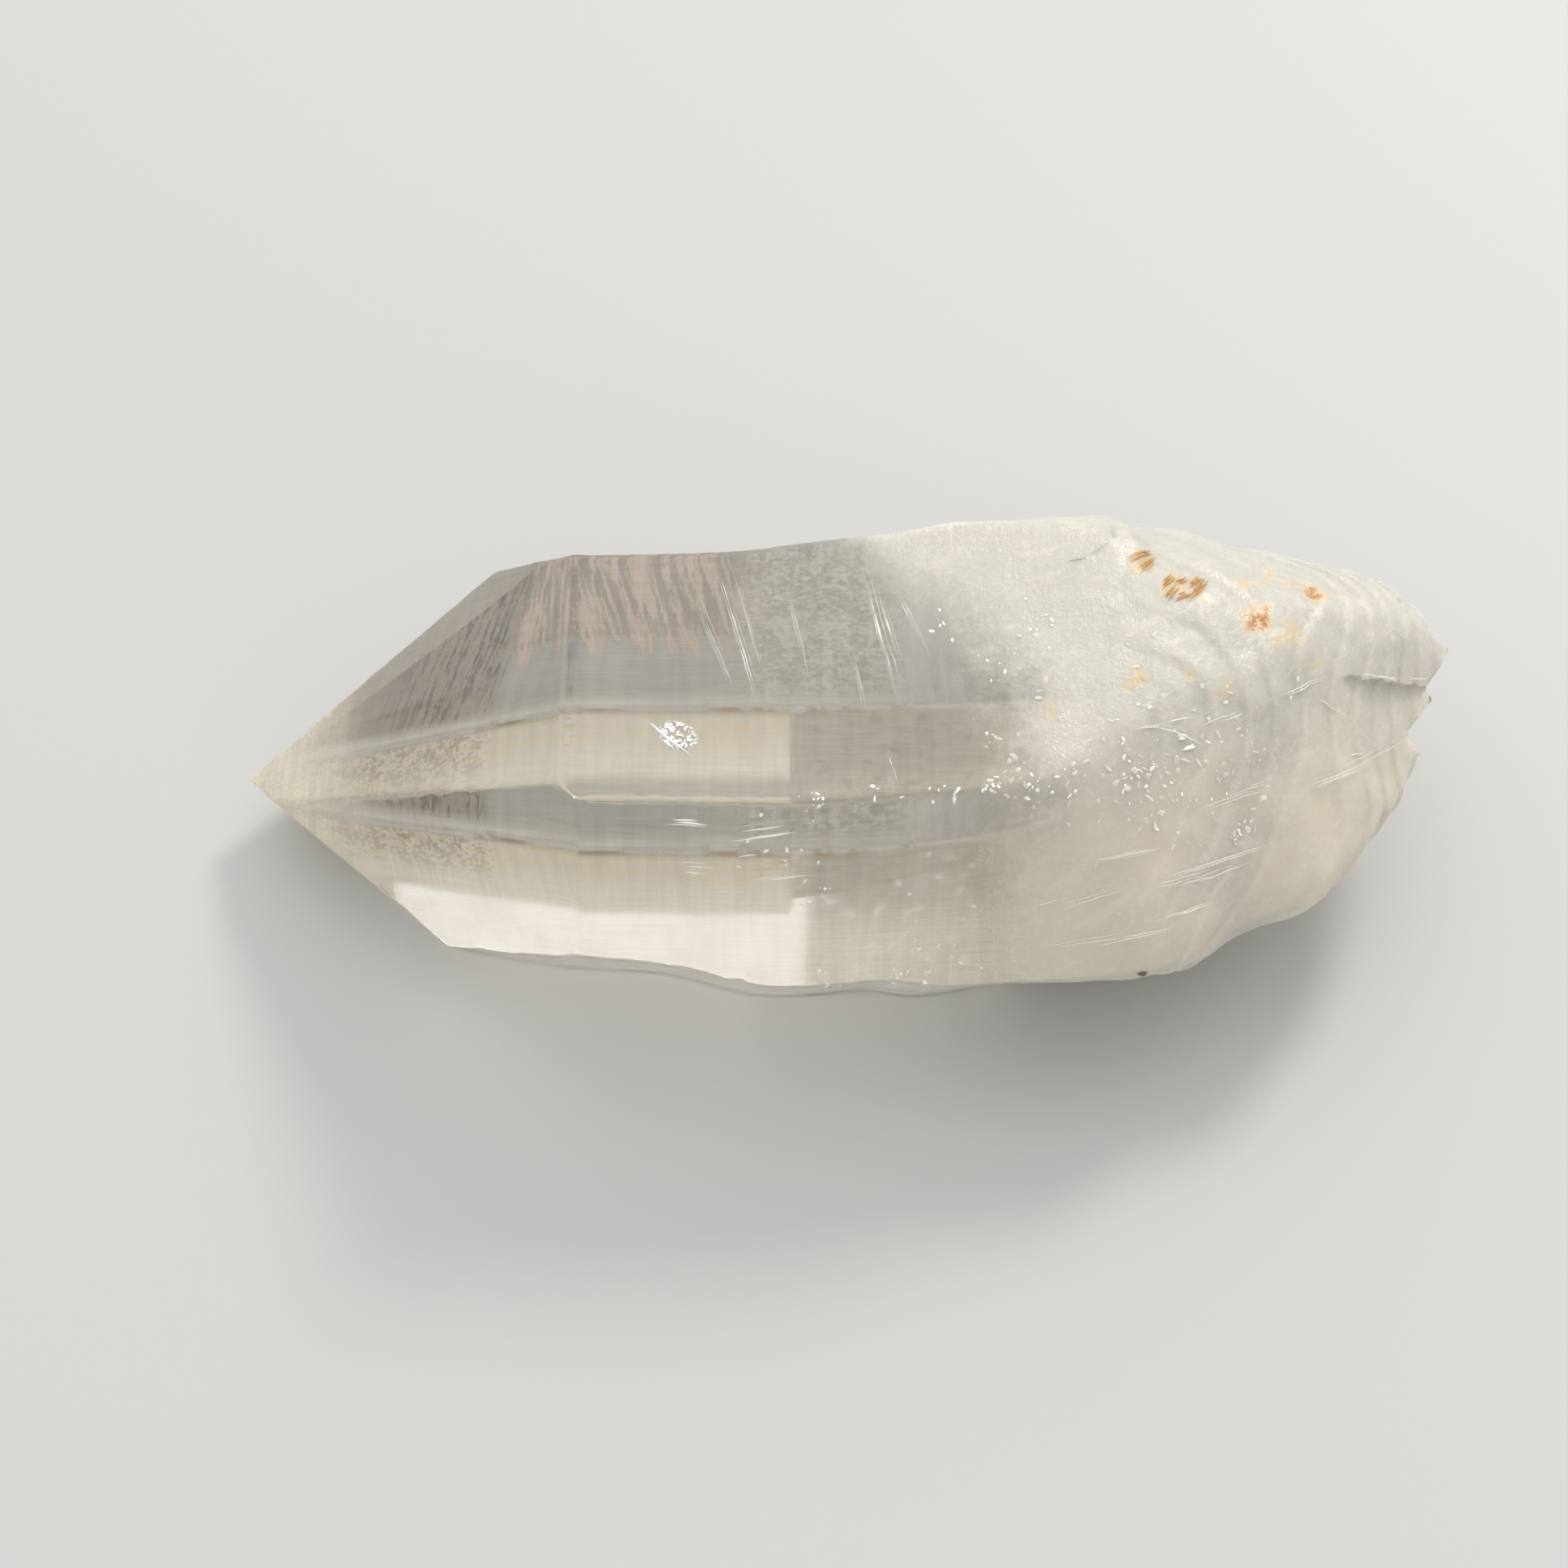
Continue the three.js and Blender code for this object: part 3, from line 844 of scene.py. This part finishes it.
def newGroup(name, inputs):
    group = bpy.data.node_groups.new(name, "GeometryNodeTree")
    group.interface.new_socket("Geometry", in_out="INPUT", socket_type="NodeSocketGeometry")
    for key, kind in inputs.items():
        group.interface.new_socket(key, in_out="INPUT", socket_type=f"NodeSocket{kind}")
    group.interface.new_socket("Geometry", in_out="OUTPUT", socket_type="NodeSocketGeometry")
    return group, group.nodes.new("NodeGroupInput").outputs


def closeGroup(group, shape, material):
    shape = addNode(group, "GeometryNodeRealizeInstances", {"Geometry": shape})[0]
    shape = addNode(group, "GeometryNodeSetMaterial", {"Geometry": shape, "Material": material})[0]
    addNode(group, "NodeGroupOutput", {"Geometry": shape})


# a chip's least and most length, width and thickness, next to its size, and its most tilt and turn
chipForm = {"least": (0.6, 0.3, 0.15), "most": (1.5, 0.9, 0.4), "turn": (0.5, 0.5, 6.28)}


def chipGroup():
    inputs = {"Density": "Float", "Smallest": "Float", "Largest": "Float", "Seed": "Int"}
    group, given = newGroup("chips on a surface", {"Mask": "String", **inputs, "Material": "Material"})
    mask = addNode(group, "GeometryNodeInputNamedAttribute", {"Name": given["Mask"]}, data_type="FLOAT")[0]
    density = addNode(group, "ShaderNodeMath", {0: mask, 1: given["Density"]}, operation="MULTIPLY")[0]
    spots = {"Mesh": given["Geometry"], "Density": density, "Seed": given["Seed"]}
    scatter = addNode(group, "GeometryNodeDistributePointsOnFaces", spots)
    turn = {"Min": (0.0, 0.0, 0.0), "Max": chipForm["turn"], "Seed": given["Seed"]}
    turn = addNode(group, "FunctionNodeRandomValue", turn, data_type="FLOAT_VECTOR")[0]
    turn = addNode(group, "FunctionNodeEulerToRotation", {"Euler": turn})[0]
    turn = {"Rotation": scatter["Rotation"], "Rotate By": turn}
    turn = addNode(group, "FunctionNodeRotateRotation", turn, rotation_space="LOCAL")[0]
    shape = {"Min": chipForm["least"], "Max": chipForm["most"], "Seed": given["Seed"]}
    shape = addNode(group, "FunctionNodeRandomValue", shape, data_type="FLOAT_VECTOR")[0]
    size = {2: given["Smallest"], 3: given["Largest"], "Seed": given["Seed"]}
    size = addNode(group, "FunctionNodeRandomValue", size, data_type="FLOAT")[1]
    size = addNode(group, "ShaderNodeVectorMath", {0: shape, "Scale": size}, operation="SCALE")[0]
    chip = addNode(group, "GeometryNodeMeshIcoSphere", {"Radius": 1.0, "Subdivisions": 1})[0]
    placed = {"Points": scatter["Points"], "Instance": chip, "Rotation": turn, "Scale": size}
    placed = addNode(group, "GeometryNodeInstanceOnPoints", placed)[0]
    closeGroup(group, placed, given["Material"])
    return group


# how a strand starts and ends along its line, how many waves a metre it wavers with, how many points and
# sides it has, its least width at the ends, and how its own width differs, next to 1 in the middle
strandForm = {
    "start": (0.0, 0.35),
    "end": (0.6, 1.0),
    "waves": 350.0,
    "points": 18,
    "sides": 5,
    "ends": 0.12,
    "widths": (0.4, 1.0),
}


def strandGroup():
    inputs = {"Strands": "Int", "Spread": "Vector", "Waver": "Float", "Radius": "Float", "Seed": "Int"}
    group, given = newGroup("strands along lines", {**inputs, "Material": "Material"})
    line = addNode(group, "GeometryNodeMeshToCurve", {"Mesh": given["Geometry"]})[0]
    copies = {"Geometry": line, "Amount": given["Strands"]}
    line = addNode(group, "GeometryNodeDuplicateElements", copies, domain="SPLINE")[0]
    index = addNode(group, "GeometryNodeInputIndex", {})[0]
    own = addNode(group, "GeometryNodeFieldOnDomain", {0: index}, domain="CURVE", data_type="INT")[0]

    def random(name, shift):
        low, high = strandForm[name]
        seed = addNode(group, "ShaderNodeMath", {0: given["Seed"], 1: float(shift)}, operation="ADD")[0]
        return addNode(group, "FunctionNodeRandomValue", {2: low, 3: high, "ID": own, "Seed": seed})[1]

    trim = {"Curve": line, "Start": random("start", 1), "End": random("end", 2)}
    line = addNode(group, "GeometryNodeTrimCurve", trim)[0]
    line = addNode(group, "GeometryNodeResampleCurve", {"Curve": line, "Count": strandForm["points"]})[0]
    shift = {"Min": (-1.0, -1.0, -1.0), "Max": (1.0, 1.0, 1.0), "ID": own, "Seed": given["Seed"]}
    shift = addNode(group, "FunctionNodeRandomValue", shift, data_type="FLOAT_VECTOR")[0]
    shift = addNode(group, "ShaderNodeVectorMath", {0: shift, 1: given["Spread"]}, operation="MULTIPLY")[0]
    place = addNode(group, "GeometryNodeInputPosition", {})[0]
    place = addNode(group, "ShaderNodeVectorMath", {0: place, 1: shift}, operation="ADD")[0]
    wave = {"Vector": place, "Scale": strandForm["waves"], "Detail": 3.0}
    wave = addNode(group, "ShaderNodeTexNoise", wave)["Color"]
    wave = addNode(group, "ShaderNodeVectorMath", {0: wave, 1: (0.5, 0.5, 0.5)}, operation="SUBTRACT")[0]
    wave = addNode(group, "ShaderNodeVectorMath", {0: wave, "Scale": given["Waver"]}, operation="SCALE")[0]
    offset = addNode(group, "ShaderNodeVectorMath", {0: shift, 1: wave}, operation="ADD")[0]
    line = addNode(group, "GeometryNodeSetPosition", {"Geometry": line, "Offset": offset})[0]
    factor = addNode(group, "GeometryNodeSplineParameter", {})["Factor"]
    taper = addNode(group, "ShaderNodeMath", {0: factor, 1: math.pi}, operation="MULTIPLY")[0]
    taper = addNode(group, "ShaderNodeMath", {0: taper}, operation="SINE")[0]
    taper = addNode(group, "ShaderNodeMath", {0: taper, 1: strandForm["ends"]}, operation="MAXIMUM")[0]
    width = addNode(group, "ShaderNodeMath", {0: taper, 1: given["Radius"]}, operation="MULTIPLY")[0]
    width = addNode(group, "ShaderNodeMath", {0: width, 1: random("widths", 3)}, operation="MULTIPLY")[0]
    ring = {"Resolution": strandForm["sides"], "Radius": 1.0}
    ring = addNode(group, "GeometryNodeCurvePrimitiveCircle", ring)["Curve"]
    tube = {"Curve": line, "Profile Curve": ring, "Scale": width, "Fill Caps": True}
    tube = addNode(group, "GeometryNodeCurveToMesh", tube)[0]
    closeGroup(group, tube, given["Material"])
    return group


def grow(name, source, group, values):
    # runs the nodes on the source mesh and keeps only what they make
    piece = bpy.data.objects.new(name, source)
    scene.collection.objects.link(piece)
    modifier = piece.modifiers.new("nodes", "NODES")
    modifier.node_group = group
    for item in group.interface.items_tree:
        if item.in_out == "INPUT" and item.name in values:
            modifier[item.identifier] = values[item.name]
    applied(piece)
    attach(piece, "root")
    report(f"{name}: {len(piece.data.polygons)} faces")


def plainMaterial(name, colour, alpha, roughness=0.3):
    material = bpy.data.materials.new(name)
    material.use_nodes = True
    shader = material.node_tree.nodes["Principled BSDF"]
    shader.inputs["Base Color"].default_value = (*colour, 1.0)
    shader.inputs["Roughness"].default_value = roughness
    shader.inputs["IOR"].default_value = clear["ior"]
    shader.inputs["Alpha"].default_value = alpha
    return material


# small bright chips in the surface, and larger pale flecks: how many a square metre where the mask is 1,
# and sizes in metres
chips = {
    "Mask": "chips",
    "Density": 1.6e6,
    "Smallest": 0.10 * mm,
    "Largest": 0.34 * mm,
    "Seed": 7,
    "Material": plainMaterial("chip_finish", (0.93, 0.92, 0.88), 1.0),
}
flecks = {
    "Mask": "flecks",
    "Density": 0.75e6,
    "Smallest": 0.14 * mm,
    "Largest": 0.55 * mm,
    "Seed": 9,
    "Material": plainMaterial("fleck_finish", (0.88, 0.86, 0.80), 0.5),
}
chipNodes = chipGroup()
grow("surface_chips", quartz.data, chipNodes, chips)
grow("pale_flecks", quartz.data, chipNodes, flecks)

# pale wisps inside the clear half, each from one place to another, in mm
wispLines = [
    ((-13.6, 13.4, 35.9), (-9.0, -5.0, 35.9)),
    ((-12.0, 13.2, 35.9), (-8.2, -2.5, 35.9)),
    ((-16.2, 10.0, 35.9), (-11.4, -4.0, 35.9)),
    ((1.6, 14.0, 35.9), (5.9, -7.6, 35.9)),
    ((3.0, 10.0, 35.9), (6.2, -4.0, 35.9)),
    ((4.6, 11.6, 35.9), (9.3, -1.6, 35.9)),
    ((0.4, 2.6, 35.9), (2.0, -6.4, 35.9)),
    ((-6.2, 10.0, 35.9), (-4.0, -2.0, 35.9)),
    ((3.6, -12.0, 35.9), (4.6, -16.0, 35.9)),
    ((-18.5, -17.6, 34.8), (-14.0, -17.9, 34.3)),
    ((-12.5, -18.7, 32.9), (-4.0, -18.1, 34.0)),
    ((-12.0, -19.7, 31.2), (-8.5, -19.4, 31.7)),
    ((-17.5, -20.4, 30.0), (-13.5, -20.5, 29.8)),
    ((-10.5, -21.0, 28.9), (-3.5, -20.5, 29.8)),
]
wisps = {
    "Strands": 4,
    "Spread": (0.35 * mm, 1.4 * mm, 0.05 * mm),
    "Waver": 0.35 * mm,
    "Radius": 0.12 * mm,
    "Seed": 3,
    "Material": plainMaterial("wisp_crack_and_highlight_finish", (0.95, 0.93, 0.88), 0.7),
}


def lineMesh(name, lines):
    mesh = bpy.data.meshes.new(name)
    places = [[part * mm for part in end] for line in lines for end in line]
    mesh.from_pydata(places, [(2 * i, 2 * i + 1) for i in range(len(lines))], [])
    return mesh


def surfaceLineMesh(name, lines, lift=0.0, parts=6):
    # the same, but each line is cut into parts that lie on the quartz or a little over it
    shape = bvhtree.BVHTree.FromObject(quartz, bpy.context.evaluated_depsgraph_get())
    mesh = bpy.data.meshes.new(name)
    places, edges = [], []
    for start, end in lines:
        first = len(places)
        for i in range(parts + 1):
            spot = Vector(start).lerp(Vector(end), i / parts) * mm
            place, normal = shape.find_nearest(spot)[:2]
            places.append(place + normal * lift)
        edges += [(first + i, first + i + 1) for i in range(parts)]
    mesh.from_pydata(places, edges, [])
    return mesh


strandNodes = strandGroup()
grow("inner_wisps", lineMesh("wisp_lines", wispLines), strandNodes, wisps)

# pale cracks in the surface of the base, and painted highlights along the fold under the top lobe, in mm
crackAndHighlightLines = [
    ((20.5, -11.2, 35.5), (28.0, -8.0, 35.3)),
    ((28.0, -8.0, 35.3), (35.5, -5.6, 34.3)),
    ((36.0, -6.2, 33.6), (43.0, -2.4, 32.6)),
    ((43.0, -2.4, 32.6), (50.4, 2.0, 31.2)),
    ((48.6, -0.4, 31.2), (54.4, -1.6, 27.2)),
    ((30.4, -6.8, 35.2), (37.6, -8.0, 32.6)),
    # painted highlights, lighting the shaded fold under the top lobe
    ((54.2, 3.8, 29.2), (59.4, 5.7, 25.5)),
    ((55.2, 4.2, 28.6), (61.0, 6.4, 24.2)),
    ((59.4, 5.7, 25.5), (63.6, 8.8, 22.1)),
    ((52.7, -4.3, 25.6), (55.8, -2.3, 23.4)),
    ((57.2, 11.1, 29.3), (61.1, 10.1, 26.3)),
]
cracksAndHighlights = {
    "Strands": 3,
    "Spread": (0.5 * mm, 0.5 * mm, 0.2 * mm),
    "Waver": 0.9 * mm,
    "Radius": 0.10 * mm,
    "Seed": 11,
    "Material": wisps["Material"],
}
grow("surface_cracks_and_highlights", surfaceLineMesh("crack_and_highlight_lines", crackAndHighlightLines), strandNodes, cracksAndHighlights)

# faint growth seams over the front of the base, in mm
seamLines = [
    ((27.3, -21.5, 25.1), (40.8, -16.2, 23.6)),
    ((31.1, -19.7, 26.0), (46.1, -13.4, 23.9)),
    ((25.1, -19.0, 28.0), (32.8, -16.8, 27.7)),
    ((35.3, -13.8, 29.1), (45.2, -8.7, 27.5)),
    ((50.7, -7.0, 25.8), (60.1, 1.1, 20.8)),
    ((45.2, -10.1, 26.7), (55.8, -3.0, 23.0)),
    ((29.5, -23.0, 23.2), (37.5, -20.4, 22.4)),
    ((21.2, -25.6, 21.4), (32.9, -23.2, 22.2)),
    ((19.4, -22.9, 24.8), (27.7, -20.6, 25.9)),
]
seams = {
    "Strands": 6,
    "Spread": (2.0 * mm, 0.3 * mm, 0.3 * mm),
    "Waver": 0.6 * mm,
    "Radius": 0.10 * mm,
    "Seed": 12,
    "Material": plainMaterial("seam_finish", (0.93, 0.91, 0.85), 0.3),
}
grow("growth_seams", surfaceLineMesh("seam_lines", seamLines, 0.02 * mm, 10), strandNodes, seams)

# two white scars on the base, and a dark spot of painted shade in a small pit, in mm
scarLines = [
    ((33.1, -8.0, 34.1), (34.9, -7.5, 33.7)),
    ((34.0, -9.1, 33.2), (36.2, -8.1, 32.9)),
]
scars = {
    "Strands": 4,
    "Spread": (0.1 * mm, 0.3 * mm, 0.05 * mm),
    "Waver": 0.2 * mm,
    "Radius": 0.28 * mm,
    "Seed": 2,
    "Material": chips["Material"],
}
grow("white_scars", surfaceLineMesh("scar_lines", scarLines), strandNodes, scars)
pitShadeLines = [((30.0, -26.2, 17.6), (31.2, -26.1, 17.2))]
# the pit's painted shade
speck = {
    "Strands": 3,
    "Spread": (0.1 * mm, 0.1 * mm, 0.3 * mm),
    "Waver": 0.3 * mm,
    "Radius": 0.35 * mm,
    "Seed": 6,
    "Material": plainMaterial("pit_shade_finish", (0.14, 0.12, 0.10), 0.8),
}
grow("pit_shade", surfaceLineMesh("pit_shade_lines", pitShadeLines), strandNodes, speck)

# a grey crease at the back edge of the base, in mm
creaseLines = [
    ((28.7, 20.0, 34.8), (28.4, 16.2, 36.1)),
    ((28.4, 16.2, 36.1), (25.5, 13.8, 36.2)),
    ((25.5, 13.8, 36.2), (23.1, 13.2, 36.2)),
]
crease = {
    "Strands": 4,
    "Spread": (0.15 * mm, 0.15 * mm, 0.0),
    "Waver": 0.2 * mm,
    "Radius": 0.15 * mm,
    "Seed": 1,
    "Material": plainMaterial("crease_finish", (0.74, 0.73, 0.70), 0.25),
}
grow("grey_crease", surfaceLineMesh("crease_lines", creaseLines, 0.04 * mm), strandNodes, crease)

# the slanting rusty streaks on top of the base, in mm
ironLines = [
    ((29.8, 13.4, 36.1), (33.0, 16.0, 34.4)),
    ((30.8, 11.7, 36.1), (33.3, 15.0, 34.8)),
    ((32.9, 9.6, 36.2), (34.7, 11.9, 35.9)),
    ((33.3, 8.1, 36.3), (34.8, 10.0, 36.3)),
    ((34.7, 10.4, 36.2), (35.9, 11.5, 36.0)),
    ((35.8, 9.9, 36.2), (37.3, 12.0, 35.9)),
    ((34.3, 8.1, 36.3), (36.4, 9.3, 36.3)),
    ((35.8, 8.1, 36.3), (38.3, 11.6, 35.8)),
]
iron = {
    "Strands": 9,
    "Spread": (0.36 * mm, 0.36 * mm, 0.0),
    "Waver": 0.2 * mm,
    "Radius": 0.11 * mm,
    "Seed": 8,
    "Material": plainMaterial("iron_finish", (0.62, 0.34, 0.10), 0.8),
}
grow("iron_streaks", surfaceLineMesh("iron_lines", ironLines, 0.06 * mm), strandNodes, iron)

# the streaks of the white inclusion, in mm
inclusionLines = [
    ((-20.8, -6.6, 35.9), (-14.8, -12.4, 35.9)),
    ((-20.2, -8.2, 35.9), (-16.0, -12.0, 35.9)),
]
inclusionStreaks = {
    "Strands": 3,
    "Spread": (0.3 * mm, 0.4 * mm, 0.2 * mm),
    "Waver": 0.5 * mm,
    "Radius": 0.16 * mm,
    "Seed": 5,
    "Material": chips["Material"],
}
grow("inclusion_streaks", lineMesh("inclusion_lines", inclusionLines), strandNodes, inclusionStreaks)

# the white inclusion, a cluster of small bright grains: its middle and half its size in mm, its turn in
# degrees, and how far out its rim starts, where the grains lie thicker
inclusion = {
    "place": (-17.3, -9.0, 35.85),
    "half": (2.1, 1.5, 0.25),
    "turn": -38.0,
    "rim": (0.5, 0.9),
    "unevenness": 0.2,
}


def inclusionCore():
    # a flat oval, whose mask is stronger towards its rim
    mesh = bpy.data.meshes.new("inclusion_core")
    bm = bmesh.new()
    bmesh.ops.create_icosphere(bm, subdivisions=3, radius=1.0)
    turn = Matrix.Rotation(math.radians(inclusion["turn"]), 3, "Z")
    rims = []
    for vertex in bm.verts:
        rims.append(vertex.co.xy.length)
        vertex.co *= 1.0 + inclusion["unevenness"] * noise.noise(vertex.co * 2.0)
        spot = turn @ Vector([part * half for part, half in zip(vertex.co, inclusion["half"])])
        vertex.co = (spot + Vector(inclusion["place"])) * mm
    bm.to_mesh(mesh)
    bm.free()
    paintMask(mesh, "chips", 0.5 + smoothstep(np.array(rims), *inclusion["rim"]))
    return mesh


grains = {
    "Mask": "chips",
    "Density": 8.0e6,
    "Smallest": 0.14 * mm,
    "Largest": 0.36 * mm,
    "Seed": 4,
    "Material": chips["Material"],
}
grow("white_inclusion", inclusionCore(), chipNodes, grains)

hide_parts("quartz_crystal")
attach(quartz, "root")
